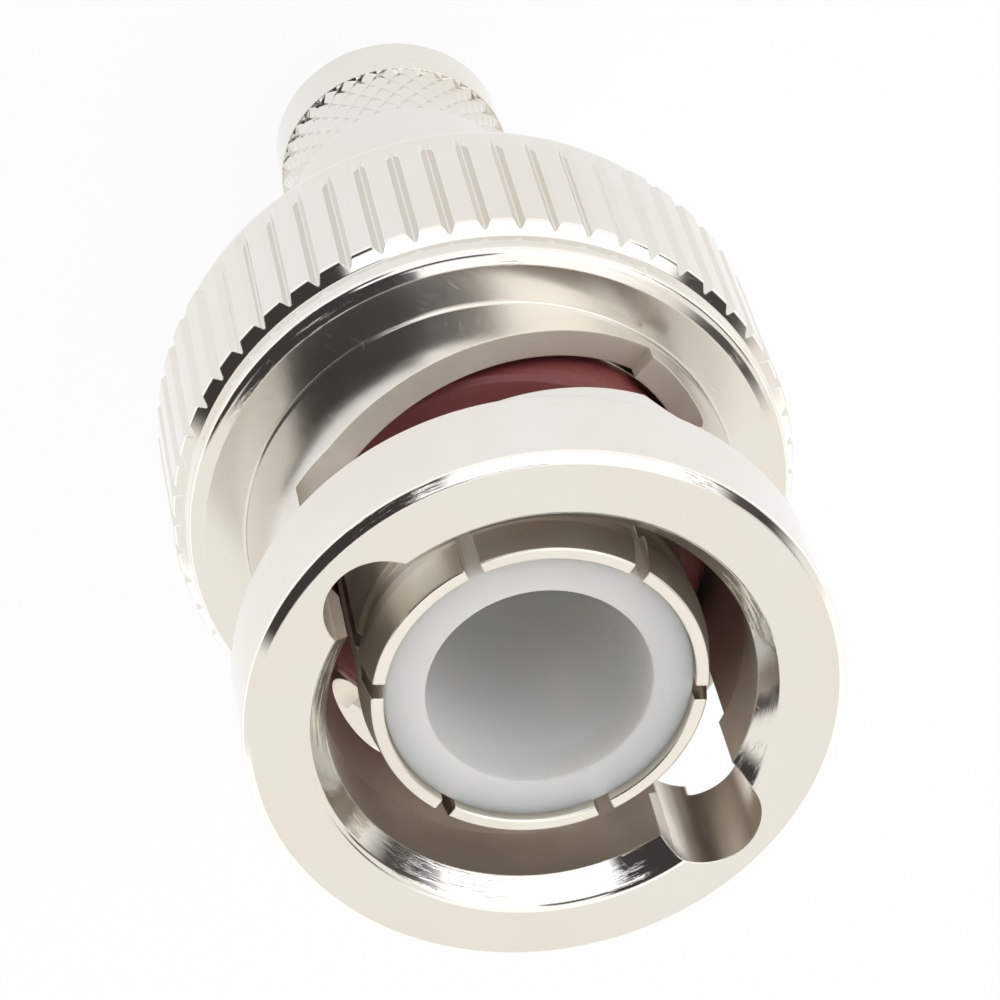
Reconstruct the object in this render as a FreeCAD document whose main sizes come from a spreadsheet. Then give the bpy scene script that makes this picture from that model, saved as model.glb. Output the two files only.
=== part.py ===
import FreeCAD, Part
import math
import os
import re
import Sketcher

# Driving sizes, in millimetres and degrees. Heights are measured from the rear end of the stem,
# depths from the front face of the coupling nut. The mating direction is +Z.
SIZES = [
    ("overall_length", 27.4),
    ("nut_length", 14.4),
    ("nut_turn", -2.2),
    ("bore_dia", 9.8),
    ("mouth_dia", 10.76),
    ("mouth_depth", 0.63),
    ("bore_land", 1.6),
    ("relief_dia", 10.4),
    ("ring_dia", 13.68),
    ("ring_length", 2.15),
    ("ring_bevel_width", 0.2),
    ("ring_bevel_depth", 0.22),
    ("ring_back_bevel", 0.1),
    ("neck_dia", 11.78),
    ("shoulder_depth", 8.3),
    ("lip_dia", 14.5),
    ("lip_bevel_width", 0.37),
    ("lip_bevel_depth", 0.12),
    ("lip_length", 0.73),
    ("grip_dia", 15.1),
    ("tail_dia", 14.6),
    ("tail_length", 0.95),
    ("tail_round", 0.4),
    ("tail_bevel", 0.06),
    ("flute_count", 56),
    ("flute_depth", 0.22),
    ("flute_angle", 76.0),
    ("channel_dia", 2.5),
    ("channel_centre", 4.95),
    ("channel_depth", 5.35),
    ("slot_count", 2),
    ("slot_width", 2.1),
    ("slot_sweep", 87.2),
    ("slot_rise", 2.6),
    ("slot_end_depth", 6.81),
    ("detent_dia", 2.6),
    ("detent_shift", 0.66),
    ("cavity_dia", 12.3),
    ("cavity_chamfer", 0.2),
    ("seat_gap", 0.02),
    ("groove_depth", 0.45),
    ("side_gap", 0.05),
    ("stem_dia", 6.2),
    ("stem_length", 12.2),
    ("stem_chamfer", 0.15),
    ("cable_bore_dia", 4.9),
    ("cable_chamfer", 0.2),
    ("insulator_floor", 1.2),
    ("knurl_start", 1.6),
    ("knurl_length", 2.3),
    ("knurl_depth", 0.23),
    ("knurl_count", 20),
    ("knurl_rows", 4),
    ("hub_dia", 9.5),
    ("hub_chamfer", 0.2),
    ("flange_dia", 12.0),
    ("flange_thickness", 1.6),
    ("flange_chamfer", 0.1),
    ("nose_dia", 10.1),
    ("nose_length", 1.0),
    ("seat_depth", 8.0),
    ("contact_dia", 7.9),
    ("contact_wall", 0.39),
    ("contact_tip_depth", 0.94),
    ("contact_tip_dia", 7.72),
    ("contact_socket", 3.0),
    ("ridge_dia", 8.04),
    ("ridge_lead", 0.9),
    ("ridge_width", 0.4),
    ("waist_dia", 7.68),
    ("waist_width", 0.5),
    ("waist_slope", 0.15),
    ("slit_count", 6),
    ("slit_width", 0.38),
    ("slit_length", 5.3),
    ("press_gap", 0.02),
    ("face_depth", 1.13),
    ("socket_dia", 5.2),
    ("socket_depth", 8.2),
    ("socket_chamfer", 0.04),
    ("insulator_chamfer", 0.08),
    ("pin_hole_dia", 2.1),
    ("gasket_dia", 9.96),
    ("gasket_thickness", 1.5),
    ("gasket_gap", 0.05),
    ("gasket_round", 0.3),
    ("wave_inner_dia", 10.1),
    ("wave_outer_dia", 11.9),
    ("wave_thickness", 0.2),
    ("wave_height", 0.65),
    ("wave_count", 3),
    ("wave_gap", 0.01),
    ("washer_inner_dia", 10.1),
    ("washer_thickness", 0.5),
    ("clip_inner_dia", 10.6),
    ("clip_thickness", 0.65),
    ("clip_opening", 1.8),
    ("cut_margin", 0.5),
]

# Heights that several pieces share, written with the driving sizes.
FRONT = "overall_length"
NUT_REAR = "(overall_length - nut_length)"
SEAT = "(overall_length - seat_depth)"
FLANGE_FRONT = f"({SEAT} - nose_length)"
FLANGE_REAR = f"({FLANGE_FRONT} - flange_thickness)"
SPRING_STACK = "(2 * wave_thickness + wave_height + 3 * wave_gap)"
WASHER_TOP = f"({FLANGE_REAR} - {SPRING_STACK})"
CLIP_TOP = f"({WASHER_TOP} - washer_thickness - seat_gap)"
CONTACT_TIP = "(overall_length - contact_tip_depth)"
CONTACT_BASE = f"({SEAT} - contact_socket)"
INSULATOR_FACE = "(overall_length - face_depth)"
INSULATOR_BASE = "(stem_length + insulator_floor)"
KNURL_END = "(knurl_start + knurl_length)"
INSULATOR_RADIUS = "(contact_dia / 2 - contact_wall - press_gap)"

# Sizes and volumes that differ by less than this count as equal.
NEAR = 1e-4

doc = FreeCAD.newDocument("Connector")
sheet = doc.addObject("Spreadsheet::Sheet", "Sizes")
for row, (alias, number) in enumerate(SIZES, start=1):
    sheet.set(f"A{row}", alias)
    sheet.set(f"B{row}", str(number))
    sheet.setAlias(f"B{row}", alias)
doc.recompute()
ALIASES = {alias for alias, number in SIZES}


def bound(text):
    """Write a formula in the driving sizes as an expression on the sheet."""
    return re.sub(r"[a-z_]+", lambda word: "Sizes." + word[0] if word[0] in ALIASES else word[0], text)


def amount(text):
    """The present value of a formula, as a plain number."""
    result = sheet.evalExpression(bound(text))
    return float(getattr(result, "Value", result))


def origin_feature(body, role):
    """A plane or axis of the body's own origin."""
    return next(item for item in body.Origin.OriginFeatures if item.Role == role)


def new_sketch(body, name, role, height=None):
    """A sketch on one of the body's origin planes, raised to a height where one is given."""
    sketch = body.newObject("Sketcher::SketchObject", name)
    sketch.AttachmentSupport = [(origin_feature(body, role), "")]
    sketch.MapMode = "FlatFace"
    if height is not None:
        sketch.setExpression("AttachmentOffset.Base.z", bound(height))
    return sketch


def pin_point(sketch, geometry, end, across, along):
    """Fix one point of a sketch at two formulas measured from the sketch's origin."""
    for kind, axis, text in (("DistanceX", -2, across), ("DistanceY", -1, along)):
        if text == "0":
            sketch.addConstraint(Sketcher.Constraint("PointOnObject", geometry, end, axis))
            continue
        index = sketch.addConstraint(Sketcher.Constraint(kind, -1, 1, geometry, end, amount(text)))
        sketch.setExpression(f"Constraints[{index}]", bound(text))


def add_outline(sketch, points):
    """A closed outline of straight edges through points given as pairs of formulas."""
    corners = [FreeCAD.Vector(amount(across), amount(along), 0) for across, along in points]
    count = len(corners)
    first = sketch.GeometryCount
    for place, corner in enumerate(corners):
        sketch.addGeometry(Part.LineSegment(corner, corners[(place + 1) % count]), False)
    for place in range(count):
        following = first + (place + 1) % count
        sketch.addConstraint(Sketcher.Constraint("Coincident", first + place, 2, following, 1))
    for place, (across, along) in enumerate(points):
        pin_point(sketch, first + place, 1, across, along)


def add_circle(sketch, across, along, radius):
    """A circle whose centre and radius are formulas."""
    centre = FreeCAD.Vector(amount(across), amount(along), 0)
    circle = sketch.addGeometry(Part.Circle(centre, FreeCAD.Vector(0, 0, 1), amount(radius)), False)
    pin_point(sketch, circle, 3, across, along)
    index = sketch.addConstraint(Sketcher.Constraint("Radius", circle, amount(radius)))
    sketch.setExpression(f"Constraints[{index}]", bound(radius))


def turned_body(name, points):
    """A body turned about Z from its half section, given as pairs of radius and height."""
    body = doc.addObject("PartDesign::Body", name)
    body.Label = name
    section = new_sketch(body, name + "_section", "XZ_Plane")
    add_outline(section, points)
    turning = body.newObject("PartDesign::Revolution", name + "_turning")
    turning.Profile = section
    turning.ReferenceAxis = (origin_feature(body, "Z_Axis"), [""])
    turning.Angle = 360
    doc.recompute()
    return body


def cut_checked(body, feature, before):
    """Stop where a cut removed nothing."""
    doc.recompute()
    if not feature.Shape.Volume < before - NEAR:
        raise RuntimeError(f"{feature.Name} cuts nothing")
    body.Tip = feature


def pocket(body, name, sketch, length=None, upward=False, both_ways=False):
    """A straight cut below, above or both sides of its sketch, to the end where no length is given."""
    before = body.Tip.Shape.Volume
    cut = body.newObject("PartDesign::Pocket", name)
    cut.Profile = sketch
    cut.Reversed = upward
    if both_ways:
        cut.SideType = "Symmetric"
    if length is None:
        cut.Type = "ThroughAll"
    else:
        cut.Type = "Length"
        cut.setExpression("Length", bound(length))
    cut_checked(body, cut, before)
    return cut


def around(body, name, originals, count):
    """Repeat features evenly about the axis."""
    before = body.Tip.Shape.Volume
    pattern = body.newObject("PartDesign::PolarPattern", name)
    pattern.Originals = originals
    pattern.Axis = (origin_feature(body, "Z_Axis"), [""])
    pattern.Angle = 360
    pattern.setExpression("Occurrences", bound(count))
    cut_checked(body, pattern, before)
    return pattern


def circles_at(shape, radius, height):
    """Names of the circular edges of a radius at a height."""
    found = []
    for number, edge in enumerate(shape.Edges, start=1):
        curve = edge.Curve
        if not isinstance(curve, Part.Circle):
            continue
        if abs(curve.Radius - radius) < NEAR and abs(curve.Center.z - height) < NEAR:
            found.append(f"Edge{number}")
    return found


def rounded(body, name, edges, radius):
    """Round off circular edges given as pairs of radius and height."""
    base = body.Tip
    fillet = body.newObject("PartDesign::Fillet", name)
    names = []
    for across, along in edges:
        names += circles_at(base.Shape, amount(across), amount(along))
    fillet.Base = (base, names)
    fillet.setExpression("Radius", bound(radius))
    doc.recompute()
    body.Tip = fillet


def coupling_nut():
    """The bayonet nut: front ring, slotted neck and fluted grip in one piece."""
    grip_step = "abs(grip_dia - lip_dia) / 2"
    rear_land = "(tail_dia / 2 - cavity_dia / 2 - cavity_chamfer)"
    groove_top = f"({CLIP_TOP} + seat_gap)"
    groove_base = f"({CLIP_TOP} - clip_thickness - side_gap)"
    inner_shoulder = f"({FLANGE_FRONT} + seat_gap)"
    land_end = "(overall_length - mouth_depth - bore_land)"
    body = turned_body("coupling_nut", [
        ("mouth_dia / 2", FRONT),
        ("ring_dia / 2 - ring_bevel_width", FRONT),
        ("ring_dia / 2", "overall_length - ring_bevel_depth"),
        ("ring_dia / 2", "overall_length - ring_length + ring_back_bevel"),
        ("ring_dia / 2 - ring_back_bevel", "overall_length - ring_length"),
        ("neck_dia / 2", "overall_length - ring_length"),
        ("neck_dia / 2", "overall_length - shoulder_depth"),
        ("lip_dia / 2 - lip_bevel_width", "overall_length - shoulder_depth"),
        ("lip_dia / 2", "overall_length - shoulder_depth - lip_bevel_depth"),
        ("lip_dia / 2", "overall_length - shoulder_depth - lip_length"),
        ("grip_dia / 2", f"overall_length - shoulder_depth - lip_length - {grip_step}"),
        ("grip_dia / 2", f"{NUT_REAR} + tail_length + tail_bevel"),
        ("tail_dia / 2", f"{NUT_REAR} + tail_length"),
        ("tail_dia / 2", NUT_REAR),
        ("cavity_dia / 2 + cavity_chamfer", NUT_REAR),
        ("cavity_dia / 2", f"{NUT_REAR} + cavity_chamfer"),
        ("cavity_dia / 2", groove_base),
        ("cavity_dia / 2 + groove_depth", groove_base),
        ("cavity_dia / 2 + groove_depth", groove_top),
        ("cavity_dia / 2", groove_top),
        ("cavity_dia / 2", inner_shoulder),
        ("relief_dia / 2", inner_shoulder),
        ("relief_dia / 2", f"{land_end} - (relief_dia - bore_dia) / 2"),
        ("bore_dia / 2", land_end),
        ("bore_dia / 2", "overall_length - mouth_depth"),
    ])
    rounded(body, "tail_rounding", [("tail_dia / 2", NUT_REAR)], f"min(tail_round; {rear_land} / 2)")

    # Straight V flutes run from the tail to the lip and end on the grip's two chamfers.
    flute = new_sketch(body, "flute_section", "XY_Plane", f"{NUT_REAR} + tail_length")
    root = "(grip_dia / 2 - flute_depth)"
    crest = "(max(grip_dia; lip_dia; tail_dia) / 2 + flute_depth)"
    half_width = f"(({crest} - {root}) * tan(flute_angle / 2 * 1deg))"
    add_outline(flute, [("0", root), (half_width, crest), (f"0 - {half_width}", crest)])
    grip_length = "nut_length - tail_length - shoulder_depth - lip_length"
    first_flute = pocket(body, "first_flute", flute, grip_length, upward=True)
    around(body, "flutes", [first_flute], "flute_count")

    # The entry channels run in from the front face, open to the bore and to the neck's outside.
    channel_angle = "((90 + slot_sweep) * 1deg)"
    channel = new_sketch(body, "channel_section", "XY_Plane", FRONT)
    add_circle(channel, f"channel_centre * cos{channel_angle}", f"channel_centre * sin{channel_angle}",
               "channel_dia / 2")
    channel_cut = pocket(body, "first_channel", channel, "channel_depth")
    around(body, "channels", [channel_cut], "slot_count")

    # Each bayonet slot climbs about the axis from its detent hole to its entry channel.
    ramp = new_sketch(body, "ramp_section", "YZ_Plane")
    low = "(overall_length - slot_end_depth - slot_width / 2)"
    high = f"({low} + slot_width)"
    inside = "(bore_dia / 2 - cut_margin)"
    outside = "(neck_dia / 2 + cut_margin)"
    add_outline(ramp, [(inside, low), (outside, low), (outside, high), (inside, high)])
    before = body.Tip.Shape.Volume
    slot = body.newObject("PartDesign::SubtractiveHelix", "first_slot")
    slot.Profile = ramp
    slot.ReferenceAxis = (origin_feature(body, "Z_Axis"), [""])
    slot.Mode = "height-turns-angle"
    slot.setExpression("Height", bound("slot_rise"))
    slot.setExpression("Turns", bound("slot_sweep / 360"))
    cut_checked(body, slot, before)
    around(body, "slots", [slot], "slot_count")

    # A round detent hole across the neck ends both slots.
    detent = new_sketch(body, "detent_section", "XZ_Plane")
    add_circle(detent, "0", "overall_length - slot_end_depth + detent_shift", "detent_dia / 2")
    pocket(body, "detents", detent, both_ways=True)
    body.setExpression("Placement.Rotation.Angle", bound("nut_turn * 1deg"))
    return body


def diamond_knurl(root, crest, start, length, count, rows):
    """A ring of crossed grooves: low points where grooves cross, a crest inside each diamond."""
    steps = 2 * count
    core = root - (crest - root) / 2

    def point(radius, step, level):
        angle = math.pi * step / count
        height = start + length * level / rows
        return FreeCAD.Vector(radius * math.cos(angle), radius * math.sin(angle), height)

    def skin(step, level):
        on_crest = (step + level) % 2
        return point(crest if on_crest else root, step, level)

    def face(*corners):
        return Part.Face(Part.makePolygon(list(corners) + [corners[0]]))

    faces = []
    for step in range(steps):
        for level in range(rows):
            here = skin(step, level)
            beside = skin(step + 1, level)
            above = skin(step, level + 1)
            across = skin(step + 1, level + 1)
            if (step + level) % 2:
                faces += [face(here, beside, above), face(beside, across, above)]
            else:
                faces += [face(here, beside, across), face(here, across, above)]
        inner = [point(core, step, 0), point(core, step + 1, 0)]
        inner_top = [point(core, step, rows), point(core, step + 1, rows)]
        faces.append(face(inner[0], inner_top[0], inner_top[1], inner[1]))
        faces.append(face(inner[0], inner[1], skin(step + 1, 0), skin(step, 0)))
        faces.append(face(inner_top[1], inner_top[0], skin(step, rows), skin(step + 1, rows)))
    solid = Part.Solid(Part.Shell(faces))
    if solid.Volume < 0:
        solid.reverse()
    return solid


def plug_body():
    """The turned body: crimp stem, hub, flange and the nose that carries the gasket."""
    blank = turned_body("body_turning", [
        ("cable_bore_dia / 2 + cable_chamfer", "0"),
        ("stem_dia / 2 - stem_chamfer", "0"),
        ("stem_dia / 2", "stem_chamfer"),
        ("stem_dia / 2", "knurl_start"),
        ("stem_dia / 2 - knurl_depth", "knurl_start"),
        ("stem_dia / 2 - knurl_depth", KNURL_END),
        ("stem_dia / 2", KNURL_END),
        ("stem_dia / 2", "stem_length"),
        ("hub_dia / 2 - hub_chamfer", "stem_length"),
        ("hub_dia / 2", "stem_length + hub_chamfer"),
        ("hub_dia / 2", FLANGE_REAR),
        ("flange_dia / 2 - flange_chamfer", FLANGE_REAR),
        ("flange_dia / 2", f"{FLANGE_REAR} + flange_chamfer"),
        ("flange_dia / 2", f"{FLANGE_FRONT} - flange_chamfer"),
        ("flange_dia / 2 - flange_chamfer", FLANGE_FRONT),
        ("nose_dia / 2", FLANGE_FRONT),
        ("nose_dia / 2", SEAT),
        ("contact_dia / 2 + press_gap", SEAT),
        ("contact_dia / 2 + press_gap", CONTACT_BASE),
        (f"{INSULATOR_RADIUS} + press_gap", CONTACT_BASE),
        (f"{INSULATOR_RADIUS} + press_gap", INSULATOR_BASE),
        ("cable_bore_dia / 2", INSULATOR_BASE),
        ("cable_bore_dia / 2", "cable_chamfer"),
    ])
    knurl = doc.addObject("Part::Feature", "stem_knurl")
    knurl.Shape = diamond_knurl(
        amount("stem_dia / 2 - knurl_depth"),
        amount("stem_dia / 2"),
        amount("knurl_start"),
        amount("knurl_length"),
        int(amount("knurl_count")),
        int(amount("knurl_rows")),
    )
    fused = doc.addObject("Part::Fuse", "plug_body")
    fused.Label = "plug_body"
    fused.Base = blank
    fused.Tool = knurl
    doc.recompute()
    return fused


def ground_contact():
    """The slotted sleeve that springs into the mating connector's barrel."""
    bore = "(contact_dia / 2 - contact_wall)"
    ridge_top = f"({CONTACT_TIP} - ridge_lead)"
    ridge_end = f"({ridge_top} - ridge_width)"
    waist_end = f"({ridge_end} - waist_slope - waist_width)"
    body = turned_body("ground_contact", [
        (bore, CONTACT_TIP),
        ("contact_tip_dia / 2", CONTACT_TIP),
        ("ridge_dia / 2", ridge_top),
        ("ridge_dia / 2", ridge_end),
        ("waist_dia / 2", f"{ridge_end} - waist_slope"),
        ("waist_dia / 2", waist_end),
        ("contact_dia / 2", f"{waist_end} - waist_slope"),
        ("contact_dia / 2", CONTACT_BASE),
        (bore, CONTACT_BASE),
    ])
    slit = new_sketch(body, "slit_section", "XY_Plane", CONTACT_TIP)
    half = "(slit_width / 2)"
    inner = f"({bore} - cut_margin)"
    outer = "(ridge_dia / 2 + cut_margin)"
    add_outline(slit, [(half, inner), (half, outer), (f"0 - {half}", outer), (f"0 - {half}", inner)])
    first_slit = pocket(body, "first_slit", slit, "slit_length")
    around(body, "slits", [first_slit], "slit_count")
    return body


def insulator():
    """The dielectric: a wide socket at the front and a narrow hole for the centre pin behind it."""
    floor = f"({INSULATOR_FACE} - socket_depth)"
    return turned_body("insulator", [
        ("socket_dia / 2 + socket_chamfer", INSULATOR_FACE),
        (f"{INSULATOR_RADIUS} - insulator_chamfer", INSULATOR_FACE),
        (INSULATOR_RADIUS, f"{INSULATOR_FACE} - insulator_chamfer"),
        (INSULATOR_RADIUS, INSULATOR_BASE),
        ("pin_hole_dia / 2", INSULATOR_BASE),
        ("pin_hole_dia / 2", floor),
        ("socket_dia / 2", floor),
        ("socket_dia / 2", f"{INSULATOR_FACE} - socket_chamfer"),
    ])


def gasket():
    """The silicone seal that the mating barrel is pulled against."""
    inner = "(contact_dia / 2 + gasket_gap)"
    top = f"({SEAT} + gasket_thickness)"
    body = turned_body("gasket", [
        (inner, SEAT),
        ("gasket_dia / 2", SEAT),
        ("gasket_dia / 2", top),
        (inner, top),
    ])
    rounded(body, "gasket_rounding", [("gasket_dia / 2", top), (inner, top)], "gasket_round")
    return body


def wave_washer(name, top):
    """A thin ring whose faces rise and fall round the axis, resting on its crests."""
    inner = amount("wave_inner_dia / 2")
    outer = amount("wave_outer_dia / 2")
    thickness = amount("wave_thickness")
    swing = amount("wave_height / 2")
    crests = int(amount("wave_count"))
    middle = amount(top) - swing
    samples_per_wave = 16
    samples = samples_per_wave * crests

    def rim(radius, lift):
        points = []
        for step in range(samples):
            angle = 2 * math.pi * step / samples
            height = middle + lift + swing * math.cos(crests * angle)
            points.append(FreeCAD.Vector(radius * math.cos(angle), radius * math.sin(angle), height))
        curve = Part.BSplineCurve()
        curve.interpolate(Points=points, PeriodicFlag=True)
        return curve.toShape()

    rims = [rim(outer, 0), rim(outer, -thickness), rim(inner, -thickness), rim(inner, 0)]
    walls = [Part.makeRuledSurface(rims[place], rims[(place + 1) % 4]) for place in range(4)]
    shell = Part.Shell(sum([wall.Faces for wall in walls], []))
    shell.sewShape()
    solid = Part.Solid(shell)
    if solid.Volume < 0:
        solid.reverse()
    washer = doc.addObject("Part::Feature", name)
    washer.Label = name
    washer.Shape = solid
    washer.Placement = FreeCAD.Placement()
    return washer


def thrust_washer():
    """The flat washer between the springs and the retaining ring."""
    low = f"({WASHER_TOP} - washer_thickness)"
    return turned_body("thrust_washer", [
        ("washer_inner_dia / 2", low),
        ("flange_dia / 2", low),
        ("flange_dia / 2", WASHER_TOP),
        ("washer_inner_dia / 2", WASHER_TOP),
    ])


def retaining_ring():
    """The open ring that sits in the nut's groove and holds the stack."""
    rim = "(cavity_dia / 2 + groove_depth - side_gap)"
    low = f"({CLIP_TOP} - clip_thickness)"
    body = turned_body("retaining_ring", [
        ("clip_inner_dia / 2", low),
        (rim, low),
        (rim, CLIP_TOP),
        ("clip_inner_dia / 2", CLIP_TOP),
    ])
    opening = new_sketch(body, "opening_section", "XY_Plane")
    half = "(clip_opening / 2)"
    inner = "(clip_inner_dia / 2 - cut_margin)"
    outer = f"({rim} + cut_margin)"
    add_outline(opening, [(half, inner), (half, outer), (f"0 - {half}", outer), (f"0 - {half}", inner)])
    pocket(body, "opening", opening, upward=True)
    return body


PIECES = [
    coupling_nut(),
    plug_body(),
    ground_contact(),
    insulator(),
    gasket(),
    wave_washer("wave_washer_front", f"{FLANGE_REAR} - wave_gap"),
    wave_washer("wave_washer_rear", f"{FLANGE_REAR} - 2 * wave_gap - wave_thickness"),
    thrust_washer(),
    retaining_ring(),
]
doc.recompute()

for item in doc.Objects:
    if "Invalid" in item.State or "Error" in item.State:
        raise RuntimeError(f"{item.Name} failed: {item.State}")
for piece in PIECES:
    shape = piece.Shape
    if shape.isNull() or not shape.isValid() or len(shape.Solids) != 1:
        raise RuntimeError(f"{piece.Label} is not one sound solid")

os.makedirs("parts", exist_ok=True)
for piece in PIECES:
    piece.Shape.exportStep(f"parts/{piece.Label}.step")
    box = piece.Shape.BoundBox
    print(f"{piece.Label}: {piece.Shape.Volume:.3f} mm3, z {box.ZMin:.3f} to {box.ZMax:.3f}")
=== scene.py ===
import math
import bmesh
import bpy
from bpy.props import FloatProperty, FloatVectorProperty, IntProperty, PointerProperty
from mathutils import Matrix, Quaternion, Vector


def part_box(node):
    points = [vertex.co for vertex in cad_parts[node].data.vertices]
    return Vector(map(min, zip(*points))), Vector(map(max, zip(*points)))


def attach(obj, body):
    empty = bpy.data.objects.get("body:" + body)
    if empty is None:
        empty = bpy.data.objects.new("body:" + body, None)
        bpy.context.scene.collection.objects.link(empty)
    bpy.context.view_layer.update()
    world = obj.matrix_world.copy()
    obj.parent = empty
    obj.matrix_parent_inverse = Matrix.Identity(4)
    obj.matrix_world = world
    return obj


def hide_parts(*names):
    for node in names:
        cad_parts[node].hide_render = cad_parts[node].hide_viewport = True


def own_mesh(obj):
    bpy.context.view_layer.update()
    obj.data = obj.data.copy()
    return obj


bl_info = {
    "name": "Bayonet cable plug",
    "version": (1, 0, 0),
    "blender": (4, 5, 0),
    "location": "View3D > Sidebar > Plug",
    "description": "Builds a nickel-plated bayonet cable plug piece by piece, with finishes and a stage",
    "category": "Object",
}

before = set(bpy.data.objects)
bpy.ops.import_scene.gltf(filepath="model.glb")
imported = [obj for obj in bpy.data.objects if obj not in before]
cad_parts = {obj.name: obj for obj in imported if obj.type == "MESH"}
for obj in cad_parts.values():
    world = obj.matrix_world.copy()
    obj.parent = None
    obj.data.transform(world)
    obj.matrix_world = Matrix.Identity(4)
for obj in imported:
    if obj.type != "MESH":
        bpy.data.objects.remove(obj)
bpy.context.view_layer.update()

# Heights that the frame gives, in metres above the stem's rear end.
NUT_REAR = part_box("coupling_nut")[0].z
NUT_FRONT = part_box("coupling_nut")[1].z
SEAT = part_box("plug_body")[1].z
CONTACT_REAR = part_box("ground_contact")[0].z
CONTACT_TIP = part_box("ground_contact")[1].z
INSULATOR_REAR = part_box("insulator")[0].z
INSULATOR_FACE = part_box("insulator")[1].z
GASKET_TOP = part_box("gasket")[1].z
RING_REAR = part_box("retaining_ring")[0].z
RING_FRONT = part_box("retaining_ring")[1].z

AXIS = (0.0, 0.0, 1.0)
CENTRE = (0.0, 0.0, 0.0)
FULL_TURN = 2 * math.pi

# Steps in a full turn of a metal piece and of a moulded one, in one flute, in a round cutter, in a slot's
# sweep and in a rounded corner.
METAL_STEPS = 360
MOULDED_STEPS = 240
FLUTE_STEPS = 8
CUTTER_STEPS = 72
SLOT_STEPS = 60
CORNER_STEPS = 3

# Small lengths in metres: the straight bit kept beside a rounding, the reach within which doubles are
# merged, and the softness of the plating's edges.
STRAIGHT_END = 0.00002
MERGE_DISTANCE = 0.000001
EDGE_SOFTNESS = 0.00005

# Up to this height of its normal a face of the nut counts as upright.
UPRIGHT = 0.3

# The finishes of the nut and of the ground contact, in the order of their material slots.
NUT_PLATING, BORE_WALLS, NECK, WORN_BEVELS, SLOT_WALLS, CHANNEL_WALLS = range(6)
CONTACT_METAL, CONTACT_OUTSIDE = range(2)

# White light, and the palest tone that a shaded finish may have.
WHITE = (1.0, 1.0, 1.0, 1.0)
PALEST = 0.93


def length(name, description, default):
    """A size in metres."""
    return FloatProperty(
        name=name, description=description, default=default, min=0.0, precision=6, unit="LENGTH")


def turn(name, description, degrees):
    """An angle, given in degrees."""
    return FloatProperty(name=name, description=description, default=math.radians(degrees), unit="ROTATION")


def number(name, description, default):
    """A count."""
    return IntProperty(name=name, description=description, default=default, min=1)


def share(name, description, default):
    """A plain number from nought to one."""
    return FloatProperty(
        name=name, description=description, default=default, min=0.0, max=1.0, subtype="FACTOR")


def colour(name, description, default):
    """A colour in linear light."""
    return FloatVectorProperty(
        name=name, description=description, default=default, size=3, min=0.0, max=1.0, subtype="COLOR")


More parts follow.
